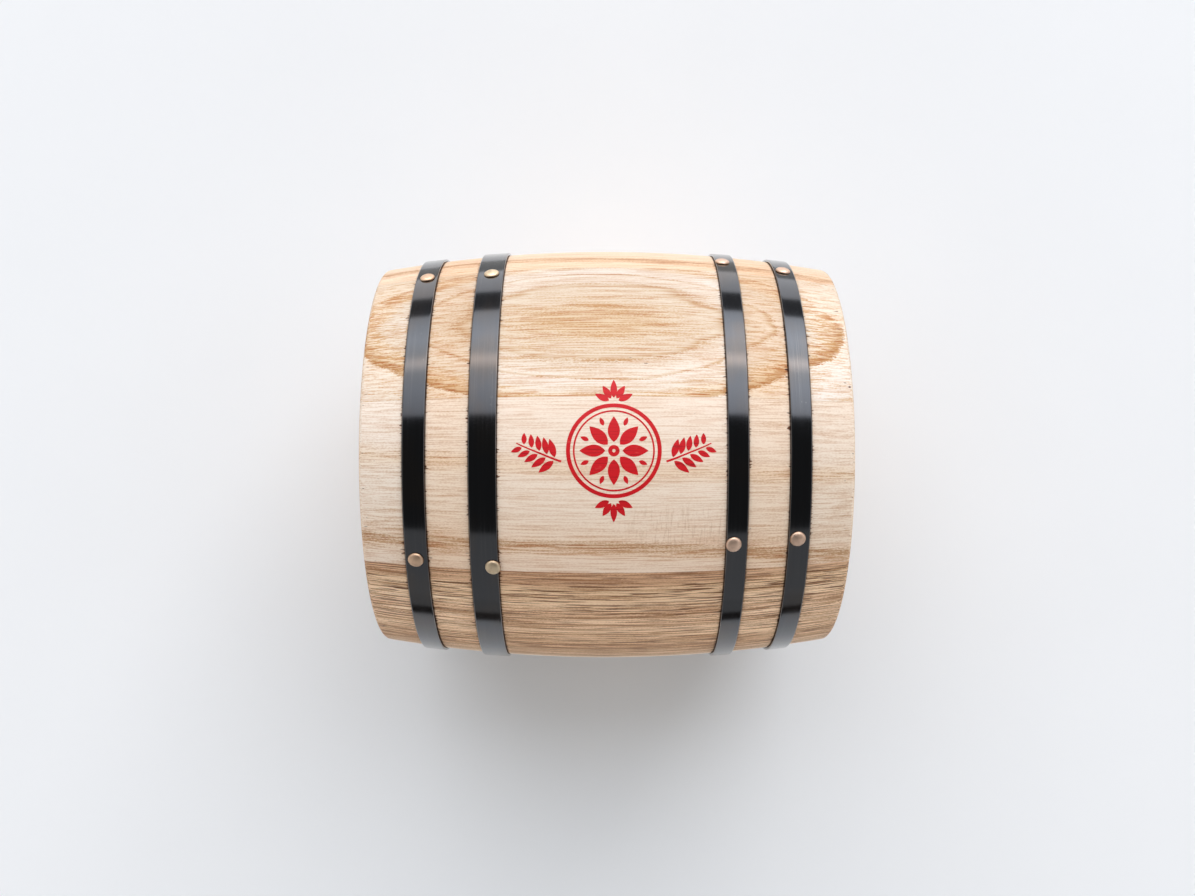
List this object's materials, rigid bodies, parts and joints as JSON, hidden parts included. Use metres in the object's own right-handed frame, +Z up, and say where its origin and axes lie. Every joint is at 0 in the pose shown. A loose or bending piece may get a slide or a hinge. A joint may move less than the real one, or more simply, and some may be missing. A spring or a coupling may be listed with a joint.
{
  "type": "barrel canister",
  "caption": "Small coopered wooden barrel canister lying on its side, with riveted black steel hoops, copper hoop nails and a pull-off plug lid recessed in one end.",
  "frame": {"origin": "on the ground under the middle of the lying barrel", "axes": "+X along the barrel's axis from the base end to the lid end, +Z up, +Y to the left of +X"},
  "size_m": [0.15, 0.141, 0.1417],
  "materials": {
    "pale_wood": "bare sanded, fine grain",
    "tan_wood": "bare sanded, wavy grain",
    "brown_wood": "bare sanded, streaky grain",
    "head_wood": "bare sanded",
    "black_steel": "blackened, satin",
    "copper": "aged copper, satin",
    "silicone": "translucent white, matt",
    "screw_steel": "zinc plated"
  },
  "bodies": {
    "barrel": {"stave_1": "pale_wood", "stave_2": "brown_wood", "stave_3": "pale_wood", "stave_4": "tan_wood", "stave_5": "pale_wood", "stave_6": "tan_wood", "stave_7": "pale_wood", "stave_8": "tan_wood", "base_end_hoop": "black_steel", "base_belly_hoop": "black_steel", "lid_belly_hoop": "black_steel", "lid_end_hoop": "black_steel", "base_end_nail_1": "copper", "base_end_nail_2": "copper", "base_end_nail_3": "copper", "base_end_nail_4": "copper", "base_belly_nail_1": "copper", "base_belly_nail_2": "copper", "base_belly_nail_3": "copper", "base_belly_nail_4": "copper", "lid_belly_nail_1": "copper", "lid_belly_nail_2": "copper", "lid_belly_nail_3": "copper", "lid_belly_nail_4": "copper", "lid_end_nail_1": "copper", "lid_end_nail_2": "copper", "lid_end_nail_3": "copper", "lid_end_nail_4": "copper", "base_end_rivet_1": "black_steel", "base_end_rivet_2": "black_steel", "base_belly_rivet_1": "black_steel", "base_belly_rivet_2": "black_steel", "lid_belly_rivet_1": "black_steel", "lid_belly_rivet_2": "black_steel", "lid_end_rivet_1": "black_steel", "lid_end_rivet_2": "black_steel", "base_board_1": "head_wood", "base_board_2": "head_wood", "base_board_3": "head_wood", "base_dowel_1": "pale_wood", "base_dowel_2": "pale_wood", "base_dowel_3": "pale_wood", "base_dowel_4": "pale_wood", "mouth_ring": "head_wood"},
    "lid": {"lid_panel": "head_wood", "lid_plug": "head_wood", "lid_seal": "silicone", "lid_knob": "tan_wood", "knob_screw": "screw_steel", "lid_screw_1": "screw_steel", "lid_screw_2": "screw_steel", "lid_screw_3": "screw_steel"}
  },
  "joints": [
    {"name": "lid_pull", "type": "slide", "parent": "barrel", "child": "lid", "axis": [1, 0, 0], "range_m": [0, 0.12]}
  ]
}
